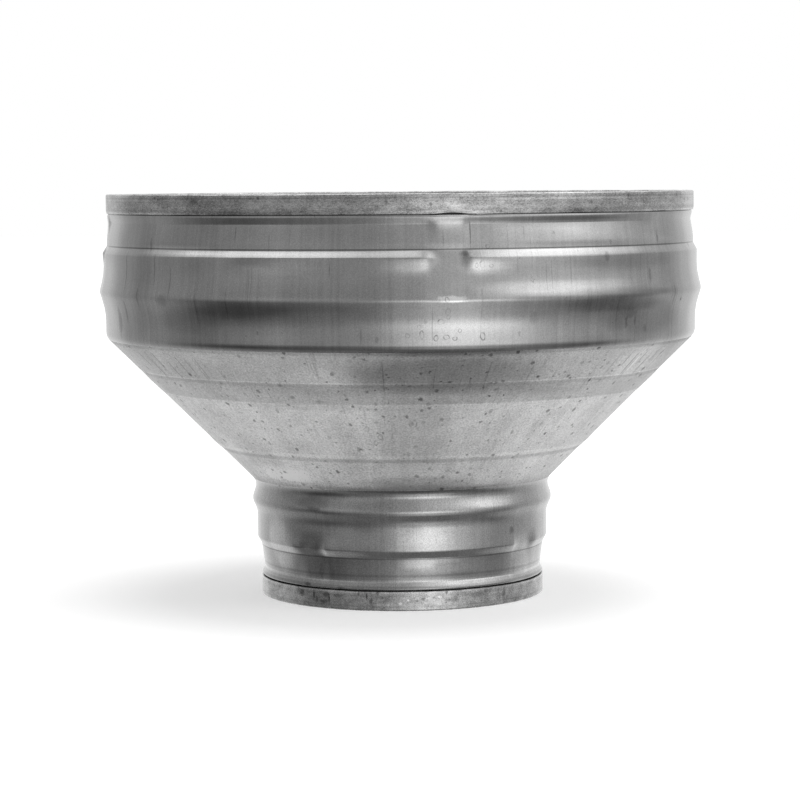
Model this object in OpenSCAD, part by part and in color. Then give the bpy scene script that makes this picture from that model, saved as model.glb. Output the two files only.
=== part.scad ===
// Round duct reducer: one piece of zinc-coated sheet steel, hemmed and beaded at both ends.
// It stands on its small end. Z is the axis, and z = 0 is the rim of the small end.

/* [Sheet] */
// Thickness of the sheet
sheet_t = 0.6; // [0.5:0.05:0.7]
// Space left inside each folded hem
hem_gap = 0.3; // [0.25:0.05:0.4]

/* [Large end] */
// Outside diameter of the guide land that the duct slides over
large_guide_d = 249.2; // [200:0.1:320]
// How far the hem lies inside the guide land, on the radius
large_hem_in = 1.4; // [1.2:0.05:1.6]
// How far the root of the sealing groove lies inside the guide land, on the radius
large_groove_in = 2.8; // [2.4:0.05:3.5]
// How far the wall below the stop bead lies inside the guide land, on the radius
large_wall_in = 0.75; // [0.2:0.05:1.5]
// Height of the ridge over the sheet inside the hem
large_ridge_rise = 0.15; // [0.1:0.05:0.4]
// Fall from the groove's shoulder to the guide land
large_step_h = 1.55; // [1:0.05:1.8]
// Height of the stop bead over the guide land
large_stop_h = 1.95; // [1.5:0.05:2.6]
// Length of the stop bead's rise from the guide land
large_rise_l = 7.1; // [6.5:0.1:9]
// Length of the stop bead's fall to the wall
large_fall_l = 7.9; // [7:0.1:10]
// Wall from the foot of the stop bead to the corner where the cone starts
large_wall_l = 10.8; // [9:0.1:40]

/* [Small end] */
// Outside diameter of the guide land that the duct slides over
small_guide_d = 122.6; // [80:0.1:180]
// How far the hem lies inside the guide land, on the radius
small_hem_in = 1.7; // [1.5:0.05:1.9]
// How far the root of the sealing groove lies inside the guide land, on the radius
small_groove_in = 3; // [2.7:0.05:3.5]
// How far the neck lies inside the guide land, on the radius
small_neck_in = 0.15; // [0:0.05:0.6]
// Height of the ridge over the sheet inside the hem
small_ridge_rise = 0.75; // [0.5:0.05:0.95]
// Fall from the groove's shoulder to the guide land
small_step_h = 1.55; // [1:0.05:1.8]
// Height of the stop bead over the guide land
small_stop_h = 2.2; // [1.5:0.05:2.6]
// Length of the stop bead's rise from the guide land
small_rise_l = 4.7; // [4:0.1:7]
// From the crest of the stop bead to the corner at the neck
small_neck_l = 7.4; // [6.5:0.1:30]

/* [Both ends, along the axis] */
// Depth of the hem, from the rim to its free edge
hem_h = 7.9; // [5:0.1:9]
// From the foot of the hem's free edge to the crest of the small ridge
ridge_l = 0.8; // [0.7:0.05:1.2]
// From that ridge to the root of the sealing groove
groove_l = 2.7; // [2.4:0.1:4]
// From the root of the groove to its shoulder
shoulder_l = 7.1; // [5:0.1:8]
// From the shoulder to the foot of the step
foot_l = 2.9; // [2.4:0.1:4]
// Length of the step up to the guide land
step_l = 2.8; // [2.4:0.1:3.5]
// How far the end enters a duct: from the rim to the crest of the stop bead
stop_at = 40.4; // [38:0.1:70]

/* [Cone] */
// Height from its top corner to the corner at the neck
cone_h = 62.1; // [58:0.1:100]
// Distance of the upper ring below the top corner
ring_drop = 17.7; // [12:0.1:19]
// Height of the upper ring
ring_h = 0.15; // [0.1:0.05:0.4]
// Width of a ring along the axis
ring_w = 6; // [4:0.5:8]
// From the upper ring to the small step beside it
ledge_gap = 5.7; // [5:0.1:8]
// Depth of that step
ledge_h = 0.1; // [0.05:0.01:0.2]
// Distance of the lower ring below the top corner
crest_drop = 44.1; // [36:0.1:45]
// Height of that ring
crest_h = 0.16; // [0.1:0.02:0.4]
// From the lower ring to the crease beside it
crease_gap = 4.4; // [3.5:0.1:6]
// Depth of the crease
crease_h = 0.2; // [0.1:0.01:0.4]

/* [Bend radii at the middle of the sheet] */
// Ridge beside the hem
ridge_bend = 0.5; // [0.4:0.05:0.8]
// Root of the groove
groove_bend = 0.9; // [0.5:0.05:1.5]
// Shoulder of the groove
shoulder_bend = 8; // [4:0.5:12]
// Both ends of the step
step_bend = 1.4; // [0.6:0.1:2]
// Start of the rise to the stop bead, large end
large_rise_bend = 25; // [10:1:30]
// Start of the rise to the stop bead, small end
small_rise_bend = 1.8; // [1:0.1:6]
// Crest of the stop bead
stop_bend = 4; // [2:0.1:5]
// Foot of the large end's stop bead
foot_bend = 27; // [10:1:35]
// Corner between the collar and the cone
corner_bend = 7; // [3:0.5:9]
// Neck between the cone and the small end
neck_bend = 5.4; // [3:0.1:6]

/* [Hidden] */
// Most that one chord of a bend turns, in degrees
bend_step = 14;
// Distance between the middles of a hem's two layers
layer_pitch = sheet_t + hem_gap;
// Fold of a hem, a little flattened at the rim
fold_bend = 0.46 * layer_pitch;
// Distances from a rim: the hem's foot, the ridge, the groove, its shoulder and both ends of the step
tuck_at = hem_h + hem_gap;
ridge_at = tuck_at + ridge_l;
groove_at = ridge_at + groove_l;
shoulder_at = groove_at + shoulder_l;
step_at = shoulder_at + foot_l;
land_at = step_at + step_l;
// Each collar, from its rim to its corner on the cone
large_collar_l = stop_at + large_fall_l + large_wall_l;
small_collar_l = stop_at + small_neck_l;
total_h = large_collar_l + cone_h + small_collar_l;
// Distances below the cone's top corner: the small step and the crease
ledge_drop = ring_drop + ledge_gap;
crease_drop = crest_drop + crease_gap;
// Reach of the cone's small step
ledge_w = 1.2;
// Facets round the axis in the preview
round_fn = 180;

// Radius of the middle of the sheet where its outside has diameter d
function middle(d) = d / 2 - sheet_t / 2;

// Vector of length one along v
function unit(v) = v / norm(v);

// Vector v turned by angle a
function turned(v, a) = [v.x * cos(a) - v.y * sin(a), v.x * sin(a) + v.y * cos(a)];

// Points along a bend of radius b at corner q, between the legs to p and to n
function bend(p, q, n, b) =
    let (
        u = unit(p - q),
        w = unit(n - q),
        half = acos(max(-1, min(1, u * w))) / 2,
        turn = 180 - 2 * half
    )
    b == 0 || turn < 0.5 ? [q] :
    let (
        centre = q + unit(u + w) * b / sin(half),
        start = q + u * b / tan(half) - centre,
        way = sign(cross(-u, w)),
        steps = ceil(turn / bend_step)
    )
    [for (i = [0 : steps]) centre + turned(start, way * turn * i / steps)];

// Line through corners, each [radius, height, bend radius], with every corner rounded
function route(corners) =
    let (
        at = [for (c = corners) [c[0], c[1]]],
        last = len(corners) - 1
    )
    [for (i = [0 : last])
        each i == 0 || i == last ? [at[i]] : bend(at[i - 1], at[i], at[i + 1], corners[i][2])];

// Left-hand normal of the leg from point i of a line to the next one
function leg_normal(line, i) = turned(unit(line[i + 1] - line[i]), 90);

// Normal at point i of a line, stretched so that both legs keep their distance
function corner_normal(line, i) =
    let (
        last = len(line) - 1,
        before = leg_normal(line, max(0, i - 1)),
        after = leg_normal(line, min(last - 1, i)),
        both = before + after
    )
    both * 2 / (both * both);

// One face of the sheet, at distance off to the left of its middle line
function face(line, off) = [for (i = [0 : len(line) - 1]) line[i] + off * corner_normal(line, i)];

// Outline of a sheet bent along a line
function sheet_outline(line) =
    let (back = face(line, -sheet_t / 2))
    concat(face(line, sheet_t / 2), [for (i = [len(back) - 1 : -1 : 0]) back[i]]);

// Corners of an end from its hem's free edge to its stop bead, as [radius, distance from the rim, bend]
function spigot(guide_d, hem_in, ridge_rise, groove_in, step_h, stop_h, rise_l, rise_bend) =
    let (
        guide_r = middle(guide_d),
        hem_r = guide_r - hem_in,
        inner_r = hem_r - layer_pitch
    )
    [
        [hem_r, hem_h, 0],
        [hem_r, sheet_t / 2, fold_bend],
        [inner_r, sheet_t / 2, fold_bend],
        [inner_r, tuck_at, ridge_bend],
        [inner_r + ridge_rise, ridge_at, ridge_bend],
        [guide_r - groove_in, groove_at, groove_bend],
        [guide_r - step_h, shoulder_at, shoulder_bend],
        [guide_r - step_h, step_at, step_bend],
        [guide_r, land_at, step_bend],
        [guide_r, stop_at - rise_l, rise_bend],
        [guide_r + stop_h, stop_at, stop_bend]
    ];

large_end = spigot(large_guide_d, large_hem_in, large_ridge_rise, large_groove_in, large_step_h,
    large_stop_h, large_rise_l, large_rise_bend);
small_end = spigot(small_guide_d, small_hem_in, small_ridge_rise, small_groove_in, small_step_h,
    small_stop_h, small_rise_l, small_rise_bend);

wall_r = middle(large_guide_d) - large_wall_in;
neck_r = middle(small_guide_d) - small_neck_in;
cone_top = [wall_r, total_h - large_collar_l];
cone_foot = [neck_r, small_collar_l];

// Corner on the cone at a distance below its top corner, raised along the normal by rise
function on_cone(drop, rise) =
    let (
        along = cone_foot - cone_top,
        at = cone_top + along * drop / cone_h,
        raised = at + turned(unit(along), 90) * rise
    )
    [raised.x, raised.y, 0];

cone_corners = [
    [cone_top.x, cone_top.y, corner_bend],
    on_cone(ring_drop - ring_w / 2, 0),
    on_cone(ring_drop, ring_h),
    on_cone(ledge_drop - ledge_w / 2, 0),
    on_cone(ledge_drop + ledge_w / 2, -ledge_h),
    on_cone(crest_drop - ring_w / 2, 0),
    on_cone(crest_drop, crest_h),
    on_cone(crease_drop, -crease_h),
    [cone_foot.x, cone_foot.y, neck_bend]
];

// Middle line of the sheet from the large hem's free edge to the small hem's free edge
body_line = route(concat(
    [for (c = large_end) [c[0], total_h - c[1], c[2]]],
    [[wall_r, total_h - stop_at - large_fall_l, foot_bend]],
    cone_corners,
    [for (i = [len(small_end) - 1 : -1 : 0]) small_end[i]]
));

// The whole reducer, spun from one sheet
module reducer_body() {
    color("silver")
        rotate_extrude($fn = round_fn)
            polygon(sheet_outline(body_line));
}

reducer_body();
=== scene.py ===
# Round duct reducer in zinc-coated sheet steel, standing on its small end in a plain studio.
import math

import bpy
import numpy as np
from mathutils import Matrix, Vector


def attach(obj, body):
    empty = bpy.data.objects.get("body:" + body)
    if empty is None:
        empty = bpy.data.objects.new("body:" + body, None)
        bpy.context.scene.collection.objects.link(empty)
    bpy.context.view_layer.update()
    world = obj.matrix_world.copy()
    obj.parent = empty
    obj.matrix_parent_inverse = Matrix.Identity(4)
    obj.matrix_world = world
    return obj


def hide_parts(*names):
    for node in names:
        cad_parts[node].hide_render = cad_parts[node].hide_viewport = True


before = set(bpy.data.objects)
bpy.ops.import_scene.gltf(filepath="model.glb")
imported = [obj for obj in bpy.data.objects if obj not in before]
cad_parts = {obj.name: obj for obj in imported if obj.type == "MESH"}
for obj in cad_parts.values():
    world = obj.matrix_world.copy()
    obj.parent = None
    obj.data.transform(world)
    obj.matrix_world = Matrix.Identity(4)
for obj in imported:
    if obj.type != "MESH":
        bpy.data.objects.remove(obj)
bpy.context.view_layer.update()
mm = 0.001

print("stage 1: the sheet's line")

# Sizes in millimetres. They are the solid's own, but cornerBend, the shoulders and the small end's
# riseBend follow the photo a little more closely
reducer = {
    "sheet": 0.6,
    "hemGap": 0.3,
    "hemHeight": 7.9,
    "ridgeLength": 0.8,
    "grooveLength": 2.7,
    "shoulderLength": 7.1,
    "footLength": 2.9,
    "stepLength": 2.8,
    "stopAt": 40.4,        # rim to the crest of the stop bead
    "wallLength": 10.8,    # foot of the large stop bead to the cone's corner
    "fallLength": 7.9,
    "neckLength": 7.4,
    "coneHeight": 62.1,
    "ridgeBend": 0.5,
    "grooveBend": 0.9,
    "shoulderBend": 8.0,
    "stepBend": 1.4,
    "stopBend": 4.0,
    "footBend": 27.0,
    "cornerBend": 4.6,
    "neckBend": 5.4,
    "foldBend": 0.46,      # bend of a hem's fold as a share of the distance between its two layers
}
# How finely the line is cut, in millimetres
cutting = {
    "longestLeg": 2.4,     # most between two points of the line
    "landLeg": 1.7, "landSpan": (24, 34),      # the same on the guide lands, and where they are from the rim
    "closeLeg": 0.6, "closeSpan": (7.5, 13),   # the same on the hems and beside them
    "bendStep": 9.0,       # degrees turned by one chord of a bend
    "leastTurn": 0.5,      # degrees below which a corner stays sharp
    # more points at these heights of the cone, where its finish changes
    "coneLines": [96.7, 96.1, 95.7, 94.7, 88.2, 87.6, 85.5, 64.6, 63.9, 63.4, 62.9, 62.2, 61.6],
    "coneMargin": 2,
}
largeEnd = {
    "guide": 249.2, "hemIn": 1.4, "grooveIn": 2.8, "ridgeRise": 0.15,
    "shoulderIn": 1.55, "stepHeight": 1.55, "stopHeight": 1.95, "riseLength": 7.1, "riseBend": 25.0,
    "wallIn": 0.75,
}
smallEnd = {
    "guide": 122.6, "hemIn": 1.7, "grooveIn": 3.0, "ridgeRise": 0.75,
    "shoulderIn": 2.05, "stepHeight": 1.55, "stopHeight": 2.2, "riseLength": 4.7, "riseBend": 9.0,
    "wallIn": 0.15,
}
coneRings = {              # drop below the cone's top corner, height over the cone
    "upperStart": (14.7, 0.0), "upper": (17.7, 0.15),
    "ledgeTop": (22.8, 0.0), "ledgeFoot": (24.0, -0.1),
    "lowerStart": (41.1, 0.0), "lower": (44.1, 0.16), "crease": (48.5, -0.2),
}

largeCollar = reducer["stopAt"] + reducer["fallLength"] + reducer["wallLength"]
smallCollar = reducer["stopAt"] + reducer["neckLength"]
totalHeight = largeCollar + reducer["coneHeight"] + smallCollar


def endCorners(end):
    # one end as rows [radius, distance from the rim, bend radius], free edge of the hem first
    half = reducer["sheet"] / 2
    pitch = reducer["sheet"] + reducer["hemGap"]
    guide = end["guide"] / 2 - half
    hem = guide - end["hemIn"]
    inner = hem - pitch
    foot = reducer["hemHeight"] + reducer["hemGap"]
    ridge = foot + reducer["ridgeLength"]
    groove = ridge + reducer["grooveLength"]
    shoulder = groove + reducer["shoulderLength"]
    step = shoulder + reducer["footLength"]
    land = step + reducer["stepLength"]
    fold = reducer["foldBend"] * pitch
    return [
        [hem, reducer["hemHeight"], 0],
        [hem, half, fold],
        [inner, half, fold],
        [inner, foot, reducer["ridgeBend"]],
        [inner + end["ridgeRise"], ridge, reducer["ridgeBend"]],
        [guide - end["grooveIn"], groove, reducer["grooveBend"]],
        [guide - end["shoulderIn"], shoulder, reducer["shoulderBend"]],
        [guide - end["stepHeight"], step, reducer["stepBend"]],
        [guide, land, reducer["stepBend"]],
        [guide, reducer["stopAt"] - end["riseLength"], end["riseBend"]],
        [guide + end["stopHeight"], reducer["stopAt"], reducer["stopBend"]],
    ]


def bentLine(corners):
    # every corner becomes an arc that touches both legs: start + radius * (turn of the normal)
    rows = [np.array(c[:2], float) for c in corners]
    line = [rows[0]]
    for before, at, after, corner in zip(rows[:-2], rows[1:-1], rows[2:], corners[1:-1]):
        wayIn = (at - before) / np.linalg.norm(at - before)
        wayOut = (after - at) / np.linalg.norm(after - at)
        turn = math.atan2(wayIn[0] * wayOut[1] - wayIn[1] * wayOut[0], wayIn @ wayOut)
        if corner[2] == 0 or abs(turn) < math.radians(cutting["leastTurn"]):
            line.append(at)
            continue
        radius = math.copysign(corner[2], turn)
        start = at - wayIn * corner[2] * math.tan(abs(turn) / 2)
        normal = np.array([-wayIn[1], wayIn[0]])
        steps = math.ceil(abs(math.degrees(turn)) / cutting["bendStep"])
        angles = turn * np.arange(steps + 1) / steps
        turned = np.stack([normal[0] * np.cos(angles) - normal[1] * np.sin(angles),
                           normal[0] * np.sin(angles) + normal[1] * np.cos(angles)], axis=1)
        line.extend(start + radius * (normal - turned))
    line.append(rows[-1])
    return np.array(line)


def splitLegs(line):
    # legs longer than the longest allowed there are cut into equal parts
    pieces = [line[:1]]
    last = len(line) - 2
    for number, (start, end) in enumerate(zip(line[:-1], line[1:])):
        middle = (start[1] + end[1]) / 2
        fromRim = min(totalHeight - middle, middle)
        longest = cutting["longestLeg"]
        if cutting["landSpan"][0] < fromRim < cutting["landSpan"][1]:
            longest = cutting["landLeg"]
        if cutting["closeSpan"][0] < fromRim < cutting["closeSpan"][1] or number in (0, last):
            longest = cutting["closeLeg"]
        parts = max(1, math.ceil(np.linalg.norm(end - start) / longest))
        share = np.arange(1, parts + 1)[:, None] / parts
        pieces.append(start + (end - start) * share)
    return np.concatenate(pieces)


def sheetLine():
    # middle of the sheet from the large hem's free edge to the small hem's free edge, [radius, height]
    half = reducer["sheet"] / 2
    wall = largeEnd["guide"] / 2 - half - largeEnd["wallIn"]
    neck = smallEnd["guide"] / 2 - half - smallEnd["wallIn"]
    top = np.array([wall, totalHeight - largeCollar])
    foot = np.array([neck, smallCollar])
    along = (foot - top) / np.linalg.norm(foot - top)
    outward = np.array([-along[1], along[0]])
    corners = [[c[0], totalHeight - c[1], c[2]] for c in endCorners(largeEnd)]
    corners.append([wall, totalHeight - reducer["stopAt"] - reducer["fallLength"], reducer["footBend"]])
    corners.append([top[0], top[1], reducer["cornerBend"]])
    for drop, rise in coneRings.values():
        at = top + (foot - top) * drop / reducer["coneHeight"] + outward * rise
        corners.append([at[0], at[1], 0])
    corners.append([foot[0], foot[1], reducer["neckBend"]])
    corners.extend(reversed(endCorners(smallEnd)))
    line = splitLegs(bentLine(corners))
    added = np.array(cutting["coneLines"])
    onCone = (line[:, 1] < top[1] + cutting["coneMargin"]) & (line[:, 1] > foot[1] - cutting["coneMargin"])
    radii = np.interp(added, line[onCone, 1][::-1], line[onCone, 0][::-1])
    place = np.searchsorted(-line[onCone, 1], -added) + np.flatnonzero(onCone)[0]
    return np.insert(line, place, np.stack([radii, added], axis=1), axis=0)


sheet = sheetLine()
print("  points along the sheet:", len(sheet))

print("stage 2: relief by angle")

# Angles in degrees round the axis, 0 towards the camera and positive to the right
beadGaps = {
    "large": {"at": [8.7, 53.7, 98.7, 143.7, -171.3, -126.3, -81.3, -36.3],
              "depth": [1.0, 0.15, 0.8, 0.5, 0.9, 0.6, 0.8, 0.07], "half": 3.0, "edge": [1.2, 0.7]},
    "small": {"at": [-38.0, 55.5, 146.0, -128.0],
              "depth": [0.6, 0.6, 0.65, 0.65], "half": 5.6, "edge": [3.0, 2.4]},
    "softer": 1.9,                                   # how much softer the ends are on the land and the stop bead
    "besideFrom": -0.8, "besideFull": 2.4, "besideEnd": 11.0,   # where the sheet swells beside a gap
    "coarse": 1.7, "fine": 0.64, "near": 6.4,        # steps of the mesh away from a gap and near one
    "probe": 0.05,                                   # step by which those are added up
}
# Plain form of the sheet inside a gap: distance from the rim, height over the guide land
plainForm = {
    "large": ([8.1, 8.9, 12.4, 15.6, 18.8], [-2.3, -1.78, -2.04, -1.95, -1.55]),
    "small": ([8.1, 8.9, 12.4, 15.6, 21.0], [-2.6, -2.1, -2.35, -2.1, -1.66]),
    "slopeFrom": 21.0, "slopeTo": 33.0,              # where the step becomes one long slope
    "softFrom": 24.0, "softTo": 28.0,                # beyond it the gap's ends are soft
    "crestLow": 0.15, "crestHalf": 5.0,              # how far the stop bead is lowered, and over what length
    "riseLate": 0.3, "lateFrom": 30.0, "lateTo": 38.2, "riseEnd": 41.0,   # its upper slope starts late and is steep
    "endAfter": 6.0,                                 # past the stop bead's crest the form is left alone
}
# Small swellings of the sheet, with heights in mm and places by the distance from the rim
swellings = {
    "landRise": 0.5, "landAt": 24.8, "landHalf": 5.6,      # of the land beside each gap
    "stopRise": 0.05, "stopHalf": 4.0,                     # of the stop bead beside each gap
    "frontRise": 0.16, "frontAngle": 30, "frontWide": 34,  # of the land to the right of the front
    "frontAt": 31.6, "frontHalf": 5.8,
    "crestTrim": 0.085, "trimHalf": 6,                     # keeps the large stop bead inside the solid's box
    "rippleEnd": 48,                                       # how far from a rim the sheet ripples
}
hems = {
    "largeCurl": 0.27, "smallCurl": 0.08,            # how far the free edge leans in
    "curlLength": 1.0,
    "liftAt": 9.4, "lift": 0.62, "liftWide": 4.2,    # where the large hem's edge is lifted, and then dips
    "dipAt": 14.3, "dip": 0.3, "dipWide": 2.6,
    "rimDepth": 3.0, "rimLength": 20,                # how deep the rim's dents reach, and how far along the sheet
    "layerMargin": 2,                                # sheet past the fold that still belongs to the hem
}
# Unevenness round the ring: seed, fewest and most waves, height in mm
ripples = {
    "sheet": (16, 9, 36, 0.02), "rim": (15, 6, 60, 0.12),
    "largeEdge": (11, 5, 44, 0.10), "largeFold": (12, 5, 50, 0.03),
    "smallEdge": (13, 4, 30, 0.08), "smallFold": (14, 5, 60, 0.05),
}


def wrapped(angle):
    # the same direction as an angle from -180 to 180
    return (angle + 180) % 360 - 180


def smooth(low, high, x):
    # S curve from 0 at low to 1 at high
    share = np.clip((x - low) / (high - low), 0, 1)
    return share * share * (3 - 2 * share)


def bump(x, centre, half):
    # smooth hump from 0 to 1 and back: cosine squared
    share = np.clip(np.abs(x - centre) / half, 0, 1)
    return np.cos(share * np.pi / 2) ** 2


def ripple(kind):
    # closed noise round the ring: cosines with whole numbers of waves and seeded phases
    seed, fewest, most, height = ripples[kind]
    draw = np.random.default_rng(seed)
    waves = np.arange(fewest, most + 1)
    phases = draw.uniform(0, 2 * np.pi, len(waves))
    sizes = draw.uniform(0.4, 1.0, len(waves)) / np.sqrt(len(waves))
    return height * (sizes * np.cos(np.radians(angles)[:, None] * waves + phases)).sum(axis=1)


def gapMask(gaps, softer=1.0):
    # 1 inside each gap and 0 outside, with an S curve at both ends
    mask = np.zeros_like(angles)
    for centre, depth in zip(gaps["at"], gaps["depth"]):
        away = wrapped(angles - centre)
        edge = softer * np.where(away < 0, gaps["edge"][0], gaps["edge"][1])
        mask = np.maximum(mask, depth * (1 - smooth(-edge, edge, np.abs(away) - gaps["half"])))
    return mask


def besideGaps(gaps):
    # 1 right beside each gap, fading away from it, and 0 inside it
    start, full, end = beadGaps["besideFrom"], beadGaps["besideFull"], beadGaps["besideEnd"]
    mask = np.zeros_like(angles)
    for centre, depth in zip(gaps["at"], gaps["depth"]):
        away = np.abs(wrapped(angles - centre)) - gaps["half"]
        mask = np.maximum(mask, depth * smooth(start, full, away) * (1 - smooth(full, end, away)))
    return mask


def ringAngles():
    # coarse steps round the ring, and fine ones near a gap
    centres = np.array(beadGaps["large"]["at"] + beadGaps["small"]["at"])
    probe = np.arange(-180, 180, beadGaps["probe"])
    away = np.abs(wrapped(probe[:, None] - centres)).min(axis=1)
    density = np.where(away < beadGaps["near"], 1 / beadGaps["fine"], 1 / beadGaps["coarse"])
    count = np.concatenate([[0], np.cumsum(density) * beadGaps["probe"]])
    total = int(round(count[-1]))
    return np.interp(np.arange(total) * count[-1] / total, count, np.append(probe, 180))


angles = ringAngles()
theta = np.radians(angles)
print("  angles round the axis:", len(angles))

length = np.concatenate([[0], np.cumsum(np.linalg.norm(np.diff(sheet, axis=0), axis=1))])
lastLength = length[-1]
hemLength = reducer["hemHeight"]
layerStart = hemLength + hems["layerMargin"]
innerLayer = (length > layerStart) & (length < lastLength - layerStart)      # all but the hems' outer layers
fromTop = totalHeight - sheet[:, 1]
fromFoot = sheet[:, 1]
radius = np.tile(sheet[:, 0], (len(angles), 1))
height = np.tile(sheet[:, 1], (len(angles), 1))


def plainer(end, distance, which):
    # change of radius that turns the beaded form into the plain one: plain form minus beaded form
    guide = end["guide"] / 2 - reducer["sheet"] / 2
    over = sheet[:, 0] - guide
    at, level = plainForm[which]
    groove = np.interp(distance, at, level) - over
    groove = np.where((distance > at[0]) & (distance < at[-1]), groove, 0)
    low, high = plainForm["slopeFrom"], plainForm["slopeTo"]
    rising = np.flatnonzero(innerLayer)[np.argsort(distance[innerLayer])]
    start = np.interp(low, distance[rising], over[rising])
    slope = start * (1 - smooth(low, high, distance)) - over
    slope = np.where((distance > low) & (distance < high), slope, 0)
    crest = -plainForm["crestLow"] * bump(distance, reducer["stopAt"], plainForm["crestHalf"])
    crest -= plainForm["riseLate"] * smooth(plainForm["lateFrom"], plainForm["lateTo"], distance) * (
        1 - smooth(plainForm["lateTo"], plainForm["riseEnd"], distance))
    return innerLayer * (groove + slope + crest) * (distance < reducer["stopAt"] + plainForm["endAfter"])


radius -= swellings["crestTrim"] * bump(fromTop, reducer["stopAt"], swellings["trimHalf"])
for which, end, distance in (("large", largeEnd, fromTop), ("small", smallEnd, fromFoot)):
    far = smooth(plainForm["softFrom"], plainForm["softTo"], distance)
    gap = gapMask(beadGaps[which])[:, None] * (1 - far)
    gap = gap + gapMask(beadGaps[which], beadGaps["softer"])[:, None] * far
    radius += gap * plainer(end, distance, which)
    swell = swellings["landRise"] * bump(distance, swellings["landAt"], swellings["landHalf"])
    swell = swell + swellings["stopRise"] * bump(distance, reducer["stopAt"], swellings["stopHalf"])
    radius += besideGaps(beadGaps[which])[:, None] * innerLayer * swell
    radius += innerLayer * (distance < swellings["rippleEnd"]) * ripple("sheet")[:, None]
bulge = swellings["frontRise"] * bump(wrapped(angles - swellings["frontAngle"]), 0, swellings["frontWide"])
radius += bulge[:, None] * innerLayer * bump(fromTop, swellings["frontAt"], swellings["frontHalf"])

# hems: the free edges lean in and wave along the rim, and the folds are a little uneven
largeEdge = np.clip(1 - length / hemLength, 0, 1)                  # 1 at the large free edge, 0 at the rim
smallEdge = np.clip(1 - (lastLength - length) / hemLength, 0, 1)
radius -= hems["largeCurl"] * (1 - smooth(0, hems["curlLength"], length))
radius -= hems["smallCurl"] * (1 - smooth(0, hems["curlLength"], lastLength - length))
lifted = hems["lift"] * bump(wrapped(angles - hems["liftAt"]), 0, hems["liftWide"])
dipped = hems["dip"] * bump(wrapped(angles - hems["dipAt"]), 0, hems["dipWide"])
height += largeEdge * (lifted - dipped + ripple("largeEdge"))[:, None]
radius += largeEdge * ripple("largeFold")[:, None]
height += smallEdge * ripple("smallEdge")[:, None]
radius += smallEdge * ripple("smallFold")[:, None]
rimTop = np.exp(-(fromTop / hems["rimDepth"]) ** 2) * (length < hems["rimLength"])
height -= rimTop * np.abs(ripple("rim"))[:, None]

print("stage 3: the mesh")

surface = {
    "foldPast": 1.5, "bendPast": 3,        # sheet past a hem's fold that has few points, or all of them, in mm
    "keepEvery": 4,                        # the hidden side keeps one point in so many
    "sharpFrom": 45,                       # degrees
    "collarPast": 0.45, "neckPast": 2.0,   # how far the finish of each collar reaches past its corner, in mm
    "hemPast": 1.2, "hemPastInside": 1.6,  # how far the hem's finish reaches past the fold
}


def faceOf(radius, height, off):
    # each point moved by off along the left-hand normal of its two legs, as a mitre
    step = np.stack([np.diff(radius, axis=1), np.diff(height, axis=1)], axis=-1)
    step /= np.linalg.norm(step, axis=-1, keepdims=True)
    normal = np.stack([-step[..., 1], step[..., 0]], axis=-1)
    before = np.concatenate([normal[:, :1], normal], axis=1)
    after = np.concatenate([normal, normal[:, -1:]], axis=1)
    both = before + after
    both *= 2 / (both * both).sum(axis=-1, keepdims=True)
    return radius + off * both[..., 0], height + off * both[..., 1]


half = reducer["sheet"] / 2
leftRadius, leftHeight = faceOf(radius, height, half)
rightRadius, rightHeight = faceOf(radius, height, -half)

# the left face is the outside between the hems, and the right face is the outside of the hems
count = len(sheet)
fromEdge = np.minimum(length, lastLength - length)                # along the sheet, from the nearer free edge
inHem = fromEdge < hemLength + surface["foldPast"]
nearFold = fromEdge < hemLength + surface["bendPast"]
thinned = np.arange(count) % surface["keepEvery"] == 0
ends = np.zeros(count, bool)
ends[[0, -1]] = True
leftKept = np.flatnonzero(~inHem | thinned | ends)
rightKept = np.flatnonzero(nearFold | thinned | ends)
columnAt = np.concatenate([leftKept, rightKept[::-1]])           # point of the sheet's line behind each column
columnLeft = np.arange(len(columnAt)) < len(leftKept)
loopRadius = np.concatenate([leftRadius[:, leftKept], rightRadius[:, rightKept[::-1]]], axis=1)
loopHeight = np.concatenate([leftHeight[:, leftKept], rightHeight[:, rightKept[::-1]]], axis=1)
loopHeight = np.clip(loopHeight, 0, totalHeight)
around, across = loopRadius.shape
points = np.stack([loopRadius * np.sin(theta)[:, None], -loopRadius * np.cos(theta)[:, None], loopHeight], axis=-1)
print("  grid", around, "by", across, "triangles", 2 * around * across)

index = np.arange(around * across).reshape(around, across)
nextAround = np.roll(index, -1, axis=0)
quads = np.stack([index, nextAround, np.roll(nextAround, -1, axis=1), np.roll(index, -1, axis=1)], axis=-1)

mesh = bpy.data.meshes.new("reducer")
mesh.from_pydata((points * mm).reshape(-1, 3), [], quads.reshape(-1, 4).tolist())
body = bpy.data.objects.new("reducer", mesh)
bpy.context.scene.collection.objects.link(body)
mesh.shade_smooth()
mesh.set_sharp_from_angle(angle=math.radians(surface["sharpFrom"]))

# finish of each face by where it lies on the sheet: 0 large collar, 1 cone, 2 small collar, 3 hems, 4 inside
coneTop = totalHeight - largeCollar
columnHeight = sheet[columnAt, 1]
isHem = fromEdge[columnAt] < hemLength + np.where(columnLeft, surface["hemPast"], surface["hemPastInside"])
finish = np.where(columnHeight > smallCollar + surface["neckPast"], 1, 2)
finish = np.where(columnHeight > coneTop - surface["collarPast"], 0, finish)
finish = np.where(columnLeft, finish, 4)
finish = np.where(isHem, 3, finish)
mesh.polygons.foreach_set("material_index", np.tile(finish, around).astype(np.int32))


def patch(spot):
    # soft-edged oval on the surface: 1 in the middle, 0 at the rim of the oval
    angle, level, halfAngle, halfHeight = spot[:4]
    away = np.hypot(wrapped(angles - angle)[:, None] / halfAngle, (loopHeight - level) / halfHeight)
    return 1 - smooth(shades["softFrom"], 1.0, away)


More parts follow.
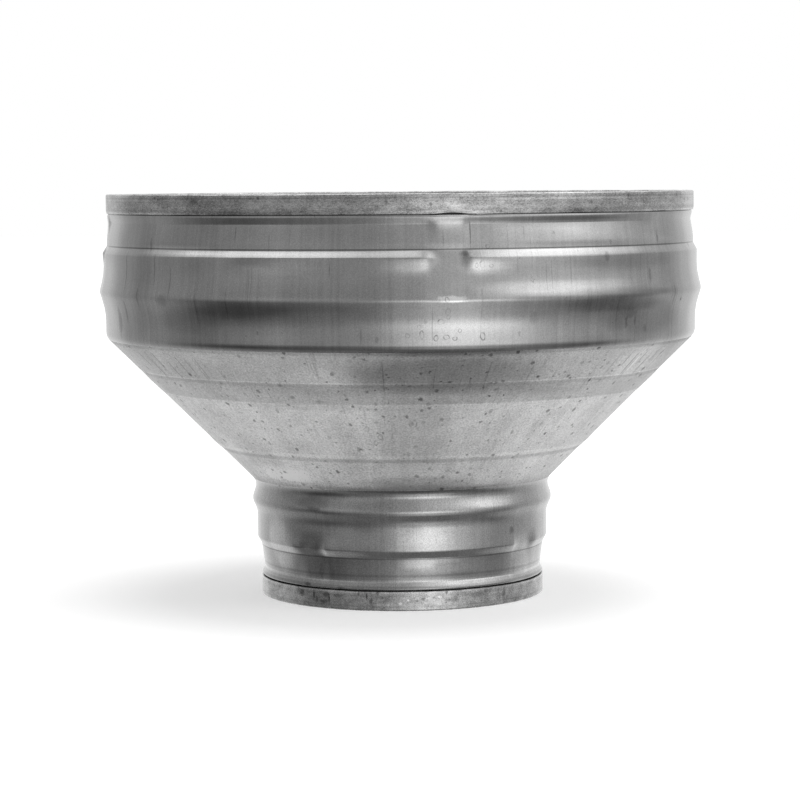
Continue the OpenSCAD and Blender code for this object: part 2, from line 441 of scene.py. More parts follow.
# Painted shade, painted highlights and painted reflections, laid on the surface as soft patches; some of the dark ones
# are patina
# Shades: [angle, height in mm, half width in degrees, half height in mm, strength]
shades = {
    "softFrom": 0.45,      # share of an oval's size from which it fades
    "dark": [
        [-30, 124.5, 14, 3.6, 0.30], [-16, 125.5, 12, 2.4, 0.14], [43, 125.5, 17, 4.2, 0.34], [42, 119, 3, 7, 0.14],
        [52, 119, 15, 9, 0.28], [-60, 138, 11, 46, 0.30], [64, 134, 11, 46, 0.26], [-42, 120, 10, 7, 0.16],
        [-40, 25, 8, 3.5, 0.2], [5, 50.0, 46, 2.0, 0.50], [6, 53, 27, 3.2, 0.34], [9, 100, 24, 9, 0.36],
        [10, 108.3, 20, 1.8, 0.3], [46, 129.5, 18, 2.4, 0.34], [-85, 138, 15, 60, 0.34], [87, 138, 15, 60, 0.30],
        [0, 110.6, 52, 1.3, 0.35], [46, 142, 18, 4.5, 0.22], [-27, 143.5, 7, 2.2, 0.22], [26, 158.9, 24, 1.1, 0.38],
        [-36, 43.5, 10, 3.0, 0.3], [-14, 34, 8, 3, 0.15], [16, 14.2, 17, 1.3, 0.28], [-30, 46.5, 12, 2.4, 0.28],
        [25, 47.6, 10, 1.7, 0.24], [12, 38, 12, 3.2, 0.18], [3, 74, 13, 22, 0.24],
        [-18, 86, 26, 2.0, 0.12], [-44, 99, 12, 6, 0.14], [24, 92, 26, 3, 0.12],
        [-66, 164, 16, 3.4, 0.16], [31, 164.3, 16, 1.8, 0.10], [21, 139.5, 8, 3.2, 0.12], [27, 128.8, 10, 1.0, 0.2],
        [4, 34, 6, 2.4, 0.12], [-45, 45.5, 14, 3.0, 0.12],
    ],
    "light": [
        [12, 119, 12, 6, 0.16], [25, 133.0, 14, 3.2, 0.42], [20, 117, 10, 7, 0.12], [8, 114.2, 11, 2.2, 0.2],
        [36, 42.8, 12, 2.0, 0.22], [9, 29.5, 14, 4.2, 0.16], [6, 19.3, 9, 3.2, 0.6],
        [14, 10.6, 15, 1.3, 0.28], [-25, 23.0, 14, 1.8, 0.55], [26, 43.6, 8, 1.4, 0.12], [15, 140.5, 6, 3.6, 0.34],
        [-22, 141, 10, 3.4, 0.16], [52, 149.6, 14, 2.6, 0.2], [-45, 146.6, 14, 2.2, 0.5],
        [57, 101, 13, 9, 0.25], [-45, 55, 20, 4.5, 0.3], [-52, 4, 13, 5, 0.4], [43, 4, 10, 5, 0.25],
        [54, 16, 9, 15, 0.45], [-56, 24, 11, 14, 0.32],
        [42, 154.5, 17, 4.6, 0.18], [-16, 98, 10, 6, 0.16], [-58, 30, 9, 8, 0.2],
        [33, 166.8, 17, 1.1, 0.40], [26, 155.6, 12, 1.6, 0.10], [30, 147.6, 13, 1.6, 0.2], [40, 133.2, 8, 2.6, 0.18],
        [-39, 139, 10, 20, 0.10], [17, 20.3, 8, 1.8, 0.25], [-55, 17.5, 8, 4.5, 0.22], [-41, 26.5, 7, 3.4, 0.25],
        [38, 38.4, 8, 1.8, 0.22], [67, 12, 10, 9, 0.16],
    ],
    "underHem": (0.12, 0.32),   # painted shade of the sheet right under a hem's free edge, where the hem shadows it, large and small
    "underHemPast": 0.5,        # how far it reaches past the edge, in mm
    "lowerCone": 1.34,     # the cone is paler under its small step, between soft limits at these heights
    "lowerConeFoot": (49.5, 53.0), "lowerConeTop": (86.6, 87.4),
    # burnished parts of the cone: [angle, height, half width, half height, strength]
    "burnished": [[12, 99, 27, 16, 0.85], [16, 84, 20, 6, 0.35], [-30, 93, 26, 5, 0.3]],
    "upperCone": 0.30,     # how burnished the cone is over its small step
    "upperConeFoot": (86.8, 87.6),
}
# painted shading: the dark and light patches, the paler lower cone and the painted shade under the hems
paintedShading = np.ones_like(loopHeight)
for spot in shades["dark"]:
    paintedShading *= 1 - spot[4] * patch(spot)
for spot in shades["light"]:
    paintedShading *= 1 + spot[4] * patch(spot)
lowerCone = smooth(*shades["lowerConeFoot"], loopHeight) * (1 - smooth(*shades["lowerConeTop"], loopHeight))
paintedShading *= 1 + (shades["lowerCone"] - 1) * lowerCone
behindHem = columnLeft & (np.minimum(fromTop, fromFoot)[columnAt] < hemLength + shades["underHemPast"])
paintedShading[:, behindHem] = np.where(columnHeight > coneTop, *shades["underHem"])[behindHem]
shine = shades["upperCone"] * smooth(*shades["upperConeFoot"], loopHeight)
for spot in shades["burnished"]:
    shine += spot[4] * patch(spot)
for name, values in (("paintedShading", paintedShading), ("shine", np.clip(shine, 0, 1))):
    mesh.attributes.new(name, "FLOAT", "POINT").data.foreach_set("value", values.astype(np.float32).ravel())

# volume by the divergence theorem tells whether the faces point outwards
mesh.calc_loop_triangles()
corner = np.zeros(len(mesh.loop_triangles) * 3, np.int32)
mesh.loop_triangles.foreach_get("vertices", corner)
tri = (points * mm).reshape(-1, 3)[corner.reshape(-1, 3)]
volume = (tri[:, 0] * np.cross(tri[:, 1], tri[:, 2])).sum() / 6
print("  volume in ml:", round(volume * 1e6, 2))
if volume < 0:
    mesh.flip_normals()

print("stage 4: zinc")

# What all the finishes share. Scales are features per metre, and pairs are the limits of a soft edge
zinc = {
    "broadWider": 7,                  # broad streaks are so many times wider than the fine ones
    "warpScale": 700, "warp": 0.0012, "squash": 0.72,     # pits are bent out of round (metres) and stretched
    "pitGather": 1.5,                # how much pits keep to the lighter mottle
    "pitTone": (0.8, 0.3),           # spread and least of their darkness
    "pitSpread": (2.5, 0.45),        # power and least of their size
    "pitCore": 0.4, "pitRough": 0.2,
    "scoreFiner": 1.7, "scoreEdge": (0.60, 0.70), "scorePatch": (0.47, 0.60),
    "lineEdge": (0.3, 1.3), "markEdge": (0.45, 1.25), "ringEdge": (0.08, 0.36),
    "unevenScale": 700, "uneven": 0.9,                    # wavy edge of rings and marks
    "brokenScale": 330, "broken": (0.40, 0.56, 0.25, 1.0),   # rings are broken up
    "shineMottle": 1.3, "shineBroad": 1.4, "shineEdge": (0.05, 0.95),
    "markDepth": 25,                 # how deep a mark reaches through the sheet, in mm
}


class Graph:
    # a material's nodes, wired by plain calls: a number or vector sets a socket, a socket links to it
    def __init__(self, tree):
        self.tree = tree

    def add(self, kind, inputs=(), **settings):
        # a node with its settings, and a value or a link on each named input
        node = self.tree.nodes.new("ShaderNode" + kind)
        for name, value in settings.items():
            setattr(node, name, value)
        for name, value in dict(inputs).items():
            if isinstance(value, bpy.types.NodeSocket):
                self.tree.links.new(value, node.inputs[name])
            else:
                node.inputs[name].default_value = value
        return node

    def math(self, operation, *values):
        # result of one operation on numbers
        return self.add("Math", enumerate(values), operation=operation).outputs[0]

    def vector(self, operation, *values):
        # result of one operation on vectors
        node = self.add("VectorMath", enumerate(values), operation=operation)
        return node.outputs["Value" if operation == "LENGTH" else "Vector"]

    def centred(self, value, times, plus):
        # (value - 0.5) * times + plus
        return self.math("MULTIPLY_ADD", self.math("SUBTRACT", value, 0.5), times, plus)

    def noise(self, place, scale, detail, roughness=0.6):
        # cloudy noise about 0.5, with so many features per metre
        inputs = {"Vector": place, "Scale": scale, "Detail": detail, "Roughness": roughness}
        return self.add("TexNoise", inputs).outputs[0]

    def ramp(self, value, low, high, start, end):
        # S curve from start at low to end at high
        inputs = {"Value": value, "From Min": low, "From Max": high, "To Min": start, "To Max": end}
        return self.add("MapRange", inputs, interpolation_type="SMOOTHSTEP").outputs[0]


def radiusAt(level):
    # radius of the sheet's middle in mm at a height, outside the hems
    rising = np.flatnonzero(innerLayer)[np.argsort(sheet[innerLayer, 1])]
    return float(np.interp(level, sheet[rising, 1], sheet[rising, 0]))


def markSize(graph, place, mark):
    # distance from a mark's middle, 1 at its rim; the mark is an oval on the surface, turned to its angle
    angle, level, wide, tall = mark[:4]
    turn = math.radians(angle)
    there = radiusAt(level)
    centre = (there * math.sin(turn) * mm, -there * math.cos(turn) * mm, level * mm)
    inputs = {"Vector": place, "Location": centre, "Rotation": (0, 0, turn),
              "Scale": (wide * mm, zinc["markDepth"] * mm, tall * mm)}
    return graph.vector("LENGTH", graph.add("Mapping", inputs, vector_type="TEXTURE").outputs[0])


def zincMaterial(name, look):
    # grey times (1 + streaks + mottle + grain) times the painted shading, less pits and stain rings, on one Principled
    # shader
    material = bpy.data.materials.new(name)
    material.use_nodes = True
    graph = Graph(material.node_tree)
    shader = material.node_tree.nodes["Principled BSDF"]
    place = graph.add("TexCoord").outputs["Object"]
    direction = graph.vector("NORMALIZE", graph.vector("MULTIPLY", place, (1, 1, 0)))
    wide = look["radius"] * mm * look["across"]
    drawn = graph.vector("MULTIPLY_ADD", direction, (wide, wide, 0),
                         graph.vector("MULTIPLY", place, (0, 0, look["along"])))
    fine = graph.noise(drawn, look["streakScale"], 3, 0.7)
    broad = graph.noise(drawn, look["streakScale"] / zinc["broadWider"], 2, 0.5)
    mottle = graph.noise(place, look["mottleScale"], 5, 0.65)
    grain = graph.noise(place, look["grainScale"], 1, 0.5)
    # painted shade and painted highlights, laid on the mesh
    paintedShading = graph.add("Attribute", attribute_name="paintedShading").outputs["Fac"]
    parts = ((fine, "streak"), (broad, "broad"), (mottle, "mottle"), (grain, "grain"))
    value = 1.0
    for source, key in parts:
        value = graph.centred(source, 2 * look[key], value)
    value = graph.math("MULTIPLY", value, paintedShading)

    # pits: some cells of a pattern hold a dot, each of its own size and darkness
    warp = graph.add("TexNoise", {"Vector": place, "Scale": zinc["warpScale"], "Detail": 1}).outputs[1]
    stretched = graph.vector("MULTIPLY", place, (1, 1, zinc["squash"]))
    bent = graph.vector("MULTIPLY_ADD", warp, (zinc["warp"], zinc["warp"], zinc["warp"]), stretched)
    cells = graph.add("TexVoronoi", {"Vector": bent, "Scale": look["pitScale"], "Randomness": 1.0})
    chance = graph.add("SeparateColor", {"Color": cells.outputs["Color"]}).outputs
    picked = graph.math("LESS_THAN", chance[0], graph.centred(mottle, zinc["pitGather"], look["pitShare"]))
    picked = graph.math("MULTIPLY", picked, graph.math("MULTIPLY_ADD", chance[2], *zinc["pitTone"]))
    power, least = zinc["pitSpread"]
    size = graph.math("ADD", graph.math("POWER", chance[1], power), least)
    size = graph.math("DIVIDE", cells.outputs["Distance"], size)
    pits = graph.ramp(size, look["pitSize"] * zinc["pitCore"], look["pitSize"], 1.0, 0.0)
    pits = graph.math("MULTIPLY", pits, picked)
    value = graph.math("MULTIPLY", value, graph.math("MULTIPLY_ADD", pits, -look["pitDepth"], 1.0))

    # sparse scores: the finest streaks where they pass a limit, broken up along their length
    scored = graph.noise(drawn, look["streakScale"] * zinc["scoreFiner"], 2, 0.8)
    scored = graph.ramp(scored, *zinc["scoreEdge"], 0.0, 1.0)
    scored = graph.math("MULTIPLY", scored, graph.ramp(mottle, *zinc["scorePatch"], 0.0, look["scores"]))
    value = graph.math("MULTIPLY", value, graph.math("SUBTRACT", 1.0, scored))

    # painted shade and painted highlight lines right round, at creases, ridges and free edges: dark when the strength
    # is over 0 and a painted highlight when it is under 0
    level = graph.add("SeparateXYZ", {"Vector": place}).outputs[2]
    near, far = zinc["lineEdge"]
    for at, halfWidth, strength in look["shadeAndHighlightLines"]:
        away = graph.math("ABSOLUTE", graph.math("SUBTRACT", level, at * mm))
        shade = graph.ramp(away, near * halfWidth * mm, far * halfWidth * mm, 1 - strength, 1.0)
        value = graph.math("MULTIPLY", value, shade)

    # stain rings and single marks, both with a wavy edge; a mark with a strength under 0 is a painted highlight
    uneven = graph.math("MULTIPLY_ADD", graph.noise(place, zinc["unevenScale"], 1), zinc["uneven"], -zinc["uneven"] / 2)
    broken = graph.ramp(graph.noise(place, zinc["brokenScale"], 1), *zinc["broken"])
    for mark in look["rings"]:
        away = graph.math("ADD", markSize(graph, place, mark), uneven)
        line = graph.math("ABSOLUTE", graph.math("SUBTRACT", away, 1.0))
        shade = graph.math("MULTIPLY", graph.ramp(line, *zinc["ringEdge"], mark[4], 0.0), broken)
        value = graph.math("MULTIPLY", value, graph.math("SUBTRACT", 1.0, shade))
    for mark in look["marksAndHighlights"]:
        away = graph.math("ADD", markSize(graph, place, mark), uneven)
        value = graph.math("MULTIPLY", value, graph.ramp(away, *zinc["markEdge"], 1 - mark[4], 1.0))

    grey = graph.math("MULTIPLY", value, look["grey"])
    graph.tree.links.new(grey, shader.inputs["Base Color"])
    rough = graph.centred(mottle, 2 * look["roughVary"], look["roughness"])
    rough = graph.centred(fine, 2 * look["roughStreak"], rough)
    rough = graph.math("MULTIPLY_ADD", pits, zinc["pitRough"], rough)
    graph.tree.links.new(rough, shader.inputs["Roughness"])
    shader.inputs["Metallic"].default_value = look["metallic"]
    if look["burnish"]:
        shine = graph.add("Attribute", attribute_name="shine").outputs["Fac"]
        shine = graph.centred(mottle, zinc["shineMottle"], shine)
        shine = graph.centred(broad, zinc["shineBroad"], shine)
        shine = graph.ramp(shine, *zinc["shineEdge"], 0.0, 1.0)
        metallic = graph.math("MULTIPLY_ADD", shine, 1 - look["metallic"], look["metallic"])
        graph.tree.links.new(metallic, shader.inputs["Metallic"])
        rough = graph.math("MULTIPLY_ADD", shine, -look["burnish"], rough)
        graph.tree.links.new(rough, shader.inputs["Roughness"])

    relief = graph.math("MULTIPLY", graph.math("SUBTRACT", fine, 0.5), look["streakRelief"])
    relief = graph.centred(grain, look["grainRelief"], relief)
    relief = graph.math("MULTIPLY_ADD", graph.noise(place, look["waveScale"], 1), look["waveRelief"], relief)
    relief = graph.math("MULTIPLY_ADD", pits, -look["pitRelief"], relief)
    bumped = graph.add("Bump", {"Height": relief, "Distance": mm, "Strength": 1.0})
    graph.tree.links.new(bumped.outputs[0], shader.inputs["Normal"])
    return material


# Tones are shares of the grey and relief is in millimetres.
# Painted shade and highlight lines are [height, half width, strength], stain rings and marks [angle, height, half
# width, half height, strength]; a mark with a strength under 0 is a painted highlight
collarLook = {
    "grey": 0.57, "metallic": 1.0, "burnish": 0.0, "radius": 124, "across": 1.0, "along": 0.014, "streakScale": 520,
    "streak": 0.19, "broad": 0.13, "mottleScale": 60, "mottle": 0.20, "grainScale": 2000, "grain": 0.24,
    "roughness": 0.175, "roughVary": 0.09, "roughStreak": 0.08,
    "streakRelief": 0.014, "grainRelief": 0.006, "waveScale": 30, "waveRelief": 0.12,
    "pitScale": 220, "pitShare": 0.12, "pitSize": 0.2, "pitDepth": 0.35, "pitRelief": 0.01, "scores": 0.22,
    "shadeAndHighlightLines": [[147.75, 0.3, 0.6], [161.0, 0.28, 0.75]],
    "rings": [
        [8.0, 128.7, 0.8, 0.9, 0.45], [8.2, 124.1, 0.9, 1.2, 0.4], [8.3, 122.2, 0.7, 0.7, 0.4],
        [7.0, 120.4, 1.1, 0.9, 0.6], [3.2, 118.6, 0.7, 0.7, 0.35], [3.7, 115.5, 0.8, 1.4, 0.55],
        [1.2, 115.2, 0.9, 0.8, 0.3], [6.2, 114.3, 0.8, 1.1, 0.55], [8.0, 114.6, 1.1, 0.8, 0.6],
        [9.5, 114.0, 0.8, 0.7, 0.5], [10.4, 117.0, 0.6, 0.6, 0.4], [14.5, 114.7, 0.9, 1.4, 0.5],
        [14.4, 142.0, 1.0, 1.4, 0.4], [16.0, 141.4, 0.7, 0.6, 0.35], [13.4, 141.6, 0.5, 0.8, 0.35],
        [15.6, 148.6, 0.8, 0.7, 0.4],
    ],
    "marksAndHighlights": [
        [12.5, 154.0, 0.22, 5.5, 0.55], [7.6, 151.5, 0.22, 3.2, 0.30], [22.6, 153.6, 0.2, 2.6, 0.28],
        [5.5, 118.5, 0.25, 7.0, 0.28], [26.5, 136.5, 0.3, 6.5, 0.22], [27.6, 137.0, 0.2, 7.5, 0.25],
        [31.6, 138.0, 0.25, 6.5, 0.2], [-31.0, 153.4, 0.3, 4.0, 0.3], [-39.2, 126.0, 0.3, 6.5, 0.3],
        [-46.0, 134.0, 0.35, 8.0, 0.28], [-50.8, 140.2, 0.35, 6.0, 0.3], [-61.5, 138.9, 0.6, 9.0, 0.3],
        [-32.2, 125.2, 0.3, 7.0, 0.25], [-12.4, 140.0, 0.25, 3.0, 0.3], [42.5, 123.0, 0.3, 6.5, 0.25],
        [31.0, 127.0, 0.3, 5.0, 0.2], [24.0, 121.0, 1.6, 2.8, 0.14], [11.4, 146.2, 2.4, 1.2, 0.4],
        [8.9, 129.0, 6.6, 1.3, -0.8], [5.6, 159.3, 3.0, 1.0, -0.3],
        [-7.0, 115.5, 0.5, 3.0, 0.2], [-4.2, 113.6, 0.8, 1.4, 0.25], [40.0, 144.0, 1.4, 2.2, 0.28],
        [43.5, 125.2, 10.0, 3.0, 0.2], [46.0, 121.5, 5.0, 2.4, 0.22], [45.3, 118.0, 1.0, 2.6, 0.3],
        [47.8, 118.6, 0.7, 2.2, 0.3], [51.0, 115.0, 1.2, 1.6, 0.2],
        [52.0, 136.0, 1.0, 3.4, 0.3], [56.0, 150.5, 0.8, 2.6, 0.35], [60.5, 128.0, 1.0, 5.5, 0.3],
        [-66.0, 118.0, 2.4, 6.0, 0.35], [-62.0, 122.0, 0.9, 5.5, 0.35], [-56.0, 128.5, 0.7, 5.0, 0.3],
        [-48.0, 127.5, 3.4, 2.6, 0.2], [-53.0, 149.0, 0.8, 3.0, 0.25], [-24.0, 150.0, 0.4, 4.0, 0.15],
    ],
}
smallLook = dict(
    collarLook, radius=61, streak=0.16, broad=0.10, grain=0.38, rings=[], pitShare=0.08, scores=0.2,
    shadeAndHighlightLines=[[21.2, 0.3, 0.4], [11.9, 0.7, -0.35], [9.6, 0.6, 0.25], [14.2, 0.6, 0.2]],
    marksAndHighlights=[
        [-34.8, 41.1, 4.0, 0.9, 0.35], [-40.0, 28.5, 3.6, 2.6, 0.12], [-34.0, 15.0, 1.2, 3.6, 0.22],
        [-41.0, 9.4, 2.0, 0.9, 0.5], [47.0, 30.5, 1.4, 1.6, 0.35], [-25.0, 8.9, 2.4, 0.5, 0.4],
    ])
coneLook = {
    "grey": 0.60, "metallic": 0.35, "burnish": 0.16, "radius": 92, "across": 1.0, "along": 0.09, "streakScale": 330,
    "streak": 0.18, "broad": 0.20, "mottleScale": 70, "mottle": 0.36, "grainScale": 1500, "grain": 0.50,
    "roughness": 0.47, "roughVary": 0.08, "roughStreak": 0.04,
    "streakRelief": 0.010, "grainRelief": 0.010, "waveScale": 34, "waveRelief": 0.10,
    "pitScale": 380, "pitShare": 0.62, "pitSize": 0.36, "pitDepth": 0.60, "pitRelief": 0.04, "scores": 0.25,
    "shadeAndHighlightLines": [
        [95.1, 0.9, 0.16], [96.0, 0.35, -0.22], [62.7, 0.9, 0.24], [64.5, 0.8, -0.12], [87.1, 0.5, -0.12],
        [108.2, 0.8, 0.2],
    ],
    "rings": [
        [2.8, 79.1, 1.4, 1.7, 0.45], [-5.5, 73.5, 0.9, 1.0, 0.35], [-6.8, 70.9, 0.8, 0.9, 0.35],
        [-8.6, 77.0, 0.9, 0.9, 0.3], [12.0, 76.0, 0.8, 0.9, 0.3],
    ],
    "marksAndHighlights": [
        [2.6, 79.1, 0.8, 1.0, 0.35], [-43.0, 100, 0.35, 5.5, 0.35], [-46.0, 101, 0.3, 5.0, 0.3],
        [-48.5, 101.0, 0.4, 4.5, 0.4], [-52.5, 99.0, 0.45, 5.5, 0.45], [-56.0, 102.0, 0.4, 4.5, 0.45],
        [-59.0, 99.5, 0.5, 5.0, 0.4], [-62.0, 103.0, 0.4, 4.0, 0.45], [-57.4, 100.5, 0.5, 5.0, -0.2],
        [-38.5, 97.5, 0.3, 4.5, 0.25],
        [42.0, 96.0, 0.3, 5.0, 0.25], [46.5, 100.5, 0.3, 5.0, 0.3], [50.0, 103.0, 0.4, 4.0, 0.45],
        [52.5, 100.5, 0.5, 5.5, 0.5], [55.5, 103.0, 0.4, 4.0, 0.5], [58.0, 99.5, 0.5, 5.0, 0.45],
        [60.5, 103.5, 0.4, 3.5, 0.5], [63.5, 101.0, 0.5, 5.0, 0.45], [54.0, 101.5, 0.5, 5.5, -0.2],
        [59.3, 101.5, 0.5, 5.0, -0.2], [17.0, 100, 0.3, 6.0, 0.3], [6.5, 97.0, 0.25, 6.0, 0.3],
        [-3.5, 99.0, 0.3, 6.5, 0.3], [26.0, 99.0, 0.3, 5.5, 0.25], [-18.0, 88.5, 2.4, 0.7, 0.3],
        [-24.0, 90.0, 1.2, 0.8, 0.4], [-30.0, 84.0, 0.9, 1.3, 0.4], [21.0, 83.5, 1.0, 0.9, 0.35],
        [-12.0, 68.0, 0.7, 1.2, 0.4], [30.0, 74.0, 0.8, 1.2, 0.35],
    ],
}
hemLook = dict(
    collarLook, across=0.35, along=1.0, streakScale=2400, streak=0.9, broad=0.5, mottleScale=240, mottle=0.4,
    grain=0.5, roughness=0.25, roughVary=0.15, roughStreak=0.15, streakRelief=0.014, grainRelief=0.008,
    waveRelief=0.06, pitScale=500, pitShare=0.3, pitSize=0.3, pitDepth=0.5, scores=0.5, shadeAndHighlightLines=[
        [167.3, 0.4, 0.25], [166.0, 0.3, 0.12], [163.9, 0.5, -0.1], [162.6, 0.3, 0.12], [161.5, 0.3, -0.35],
        [7.45, 0.3, -0.3], [6.2, 0.3, 0.12], [1.9, 0.5, 0.15],
    ], rings=[],
    marksAndHighlights=[
        [3.2, 165.4, 3.0, 1.6, -0.35], [9.6, 165.6, 5.0, 2.2, -0.30], [-2.4, 165.6, 0.7, 1.2, 0.35],
        [-40.2, 166.1, 2.5, 1.2, 0.3], [22.0, 166.4, 6.0, 0.8, -0.22], [-22.0, 165.5, 5.0, 1.4, -0.15],
        [-43.8, 5.8, 1.4, 1.6, 0.55], [-37.5, 5.0, 0.45, 2.2, 0.7], [-36.2, 3.6, 0.9, 1.2, 0.5],
        [-33.0, 3.0, 2.2, 0.9, 0.45], [-31.5, 6.0, 1.4, 1.4, 0.45], [-30.2, 4.4, 0.4, 2.4, 0.7],
        [-26.0, 5.8, 2.6, 0.9, 0.35], [-14.2, 6.0, 0.45, 1.6, 0.65], [-12.6, 4.0, 0.9, 1.1, 0.5],
        [-9.0, 5.6, 2.4, 0.7, 0.35], [20.0, 4.0, 3.0, 0.8, 0.25], [30.0, 5.4, 3.0, 1.0, 0.3],
        [8.0, 5.0, 0.9, 0.8, 0.5], [5.6, 4.2, 0.7, 0.5, 0.45], [12.2, 5.4, 0.7, 0.5, 0.4],
        [-1.0, 3.2, 0.9, 0.5, -0.9],
        [2.2, 4.6, 0.6, 0.4, -0.9], [9.0, 3.2, 0.8, 0.4, -0.8], [14.6, 5.6, 0.9, 0.4, -0.8],
        [-8.0, 2.6, 3.0, 0.7, -0.4], [44.0, 4.6, 1.0, 3.2, 0.35], [40.5, 5.5, 2.6, 0.7, -0.3],
    ])
insideLook = dict(collarLook, radius=90, streak=0.18, roughness=0.28, shadeAndHighlightLines=[], rings=[], marksAndHighlights=[])

for name, look in (("largeCollarZinc", collarLook), ("coneZinc", coneLook), ("smallCollarZinc", smallLook),
                   ("hemZinc", hemLook), ("insideZinc", insideLook)):
    mesh.materials.append(zincMaterial(name, look))
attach(body, "root")
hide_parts("reducer_body")

print("stage 5: studio")

studio = {
    "distance": 1.1393,      # camera to the axis
    "cameraHeight": 0.17262,
    "cameraSide": -0.0005,
    "tilt": 4.594,           # degrees down
    "roll": 0.45,
    "lens": 121.28,
    "floorPaint": 0.8,
    "floorGlow": (0.42, 0.80),   # what the camera sees added near the object and far from it, for a white floor
    "floorReach": (0.6, 3.0),
    "worldLevel": 0.5,
    "lampPower": 22,
    "floorHalf": 8,
    "tentRadius": 3.0,
    "tentMiddle": 0.1,
    "tentLevel": 0.165,
    "tentLeast": 0.02,
    "tentStep": 3, "tentRows": 80,    # degrees round and rows up of its mesh
    "lamps": {               # place, size and share of the power
        "overheadLamp": ((0.15, 0.1, 2.0), 1.6, 1.0), "rightLamp": ((1.6, -0.6, 1.3), 1.0, 0.35),
    },
    "lampAim": (0, 0, 0.08),
    "tentLights": {          # azimuth, elevation, half widths of both, level
        "whiteBackdrop": (176, 0, 60, 220, 0.80), "rightBoxHigh": (85, 51, 46, 18, 1.6),
        "rightBoxLow": (73, 18, 22, 13, 0.44), "rightFill": (40, 16, 41, 36, 0.45),
        "frontCard": (20, -12, 23, 11, 0.90), "frontFloor": (22, -35, 23, 9, 0.45),
        "leftBoxHigh": (-60, 62, 54, 16, 1.75), "frontTop": (8, 78, 13, 23, 0.66),
        "leftSide": (-74, 46, 30, 9, 0.40), "rightMiddle": (54, 33, 20, 11, 0.20), "topBox": (100, 88, 130, 12, 1.0),
        "backFloor": (180, -55, 62, 17, 0.26), "underShade": (0, -90, 400, 17, -0.10),
        "leftFill": (-45, 6, 30, 24, 0.19), "leftFlag": (-69, -23, 30, 19, -0.12),
        "rightFlag": (84, -35, 17, 19, -0.12), "leftEdge": (-103, 42, 33, 8, 0.55),
    },
}


def makeCamera():
    # turned down by the tilt and rolled so that the right side of the rim stands a little higher
    turned = Matrix.Rotation(math.radians(90 - studio["tilt"]), 4, "X") @ Matrix.Rotation(
        math.radians(-studio["roll"]), 4, "Z")
    data = bpy.data.cameras.new("camera")
    data.lens = studio["lens"]
    data.sensor_width = 36
    data.sensor_fit = "HORIZONTAL"
    camera = bpy.data.objects.new("camera", data)
    camera.matrix_world = Matrix.Translation(
        (studio["cameraSide"], -studio["distance"], studio["cameraHeight"])) @ turned
    bpy.context.scene.collection.objects.link(camera)
    bpy.context.scene.camera = camera


def stagePiece(name, verts, faces, material):
    stageMesh = bpy.data.meshes.new(name)
    stageMesh.from_pydata(verts, [], faces)
    stageMesh.materials.append(material)
    piece = bpy.data.objects.new(name, stageMesh)
    bpy.context.scene.collection.objects.link(piece)
    return piece


def whenSeen(graph):
    # 1 for camera, glossy and transmission rays, so that metal and glass show the same white as the camera
    path = graph.add("LightPath").outputs
    seen = graph.math("MAXIMUM", path["Is Camera Ray"], path["Is Glossy Ray"])
    return graph.math("MAXIMUM", seen, path["Is Transmission Ray"])


def makeFloor():
    # pale paint that takes the shadow, plus a glow that lifts it to white where it is seen
    paint = bpy.data.materials.new("floorPaint")
    paint.use_nodes = True
    graph = Graph(paint.node_tree)
    shader = paint.node_tree.nodes["Principled BSDF"]
    level = studio["floorPaint"]
    shader.inputs["Base Color"].default_value = (level, level, level, 1)
    shader.inputs["Roughness"].default_value = 1.0
    shader.inputs["Specular IOR Level"].default_value = 0.0
    shader.inputs["Emission Color"].default_value = (1, 1, 1, 1)
    away = graph.vector("LENGTH", graph.add("TexCoord").outputs["Object"])
    glow = graph.ramp(away, *studio["floorReach"], *studio["floorGlow"])
    graph.tree.links.new(graph.math("MULTIPLY", whenSeen(graph), glow), shader.inputs["Emission Strength"])
    # clear to the camera from beneath, so that the object's underside can be looked at
    beneath = graph.math("MULTIPLY", graph.add("NewGeometry").outputs["Backfacing"],
                         graph.add("LightPath").outputs["Is Camera Ray"])
    clear = graph.add("BsdfTransparent")
    mixed = graph.add("MixShader", {0: beneath, 1: shader.outputs[0], 2: clear.outputs[0]})
    graph.tree.links.new(mixed.outputs[0], paint.node_tree.nodes["Material Output"].inputs["Surface"])
    paint.cycles.emission_sampling = "NONE"
    far = studio["floorHalf"]
    floor = stagePiece("floor", [(-far, -far, 0), (far, -far, 0), (far, far, 0), (-far, far, 0)], [(0, 1, 2, 3)], paint)
    floor.visible_glossy = False


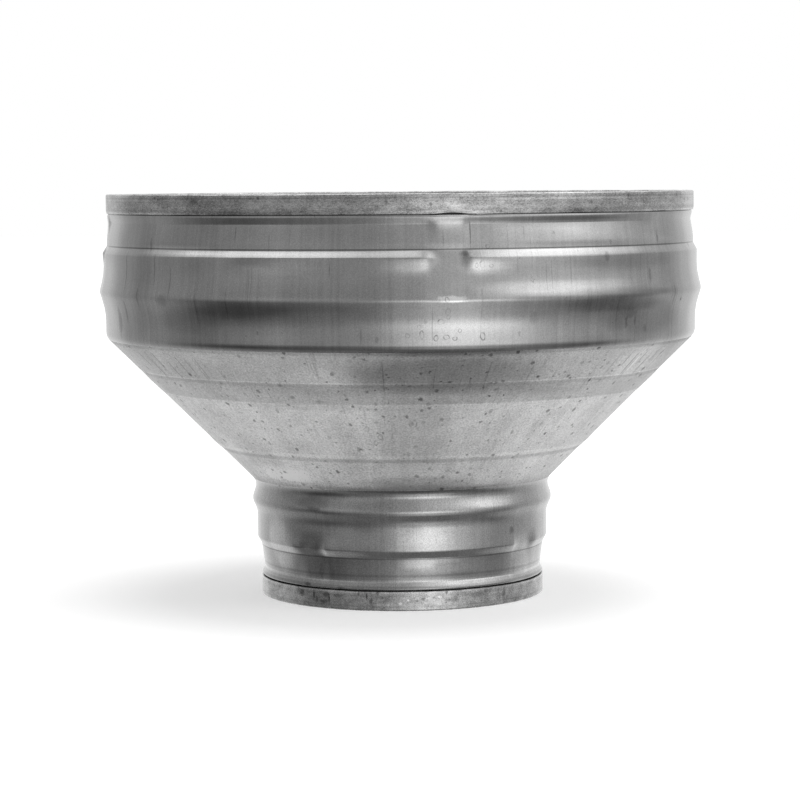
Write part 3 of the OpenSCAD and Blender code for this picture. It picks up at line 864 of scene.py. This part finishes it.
def makeTent():
    # sphere round the object that only reflections see: a plain level plus one soft hump for each light
    turns = np.radians(np.arange(0, 360, studio["tentStep"]))
    rises = np.radians(np.linspace(-89.5, 89.5, studio["tentRows"]))
    azimuth, elevation = np.meshgrid(turns, rises, indexing="ij")
    far = studio["tentRadius"]
    verts = np.stack([far * np.cos(elevation) * np.sin(azimuth), -far * np.cos(elevation) * np.cos(azimuth),
                      far * np.sin(elevation) + studio["tentMiddle"]], axis=-1)
    around, up = azimuth.shape
    index = np.arange(around * up).reshape(around, up)
    after = np.roll(index, -1, axis=0)
    faces = np.stack([index[:, :-1], after[:, :-1], after[:, 1:], index[:, 1:]], axis=-1)
    level = np.full(azimuth.shape, studio["tentLevel"])
    for turn, rise, wide, tall, strength in studio["tentLights"].values():
        level += strength * np.exp(-(wrapped(np.degrees(azimuth) - turn) / wide) ** 2
                                   - ((np.degrees(elevation) - rise) / tall) ** 2)
    cloth = bpy.data.materials.new("tentCloth")
    cloth.use_nodes = True
    cloth.cycles.emission_sampling = "NONE"
    graph = Graph(cloth.node_tree)
    glow = graph.add("Attribute", attribute_name="glow").outputs["Fac"]
    light = graph.add("Emission", {"Color": (1, 1, 1, 1), "Strength": glow})
    graph.tree.links.new(light.outputs[0], cloth.node_tree.nodes["Material Output"].inputs["Surface"])
    tent = stagePiece("tent", verts.reshape(-1, 3).tolist(), faces.reshape(-1, 4).tolist(), cloth)
    tent.data.attributes.new("glow", "FLOAT", "POINT").data.foreach_set(
        "value", np.maximum(level, studio["tentLeast"]).astype(np.float32).ravel())
    tent.visible_camera = tent.visible_diffuse = tent.visible_transmission = False
    tent.visible_shadow = tent.visible_volume_scatter = False


def makeLamp(name, place, size, share):
    # round soft lamp that points at the object and gives its share of the power
    data = bpy.data.lights.new(name, "AREA")
    data.shape = "DISK"
    data.size = size
    data.energy = studio["lampPower"] * share
    lamp = bpy.data.objects.new(name, data)
    aim = Vector(studio["lampAim"]) - Vector(place)
    lamp.matrix_world = Matrix.Translation(place) @ aim.to_track_quat("-Z", "Y").to_matrix().to_4x4()
    lamp.visible_glossy = False          # the tent shows its soft box instead
    bpy.context.scene.collection.objects.link(lamp)


def makeWorld():
    # plain light at the world's level, and white where the camera or a reflection sees it
    world = bpy.data.worlds.new("world")
    bpy.context.scene.world = world
    world.use_nodes = True
    graph = Graph(world.node_tree)
    seen = whenSeen(graph)
    level = graph.math("MULTIPLY_ADD", seen, 1 - studio["worldLevel"], studio["worldLevel"])
    background = world.node_tree.nodes["Background"]
    background.inputs["Color"].default_value = (1, 1, 1, 1)
    graph.tree.links.new(level, background.inputs["Strength"])


makeCamera()
makeFloor()
makeTent()
for name, (place, size, share) in studio["lamps"].items():
    makeLamp(name, place, size, share)
makeWorld()
bpy.context.scene.view_settings.view_transform = "Standard"
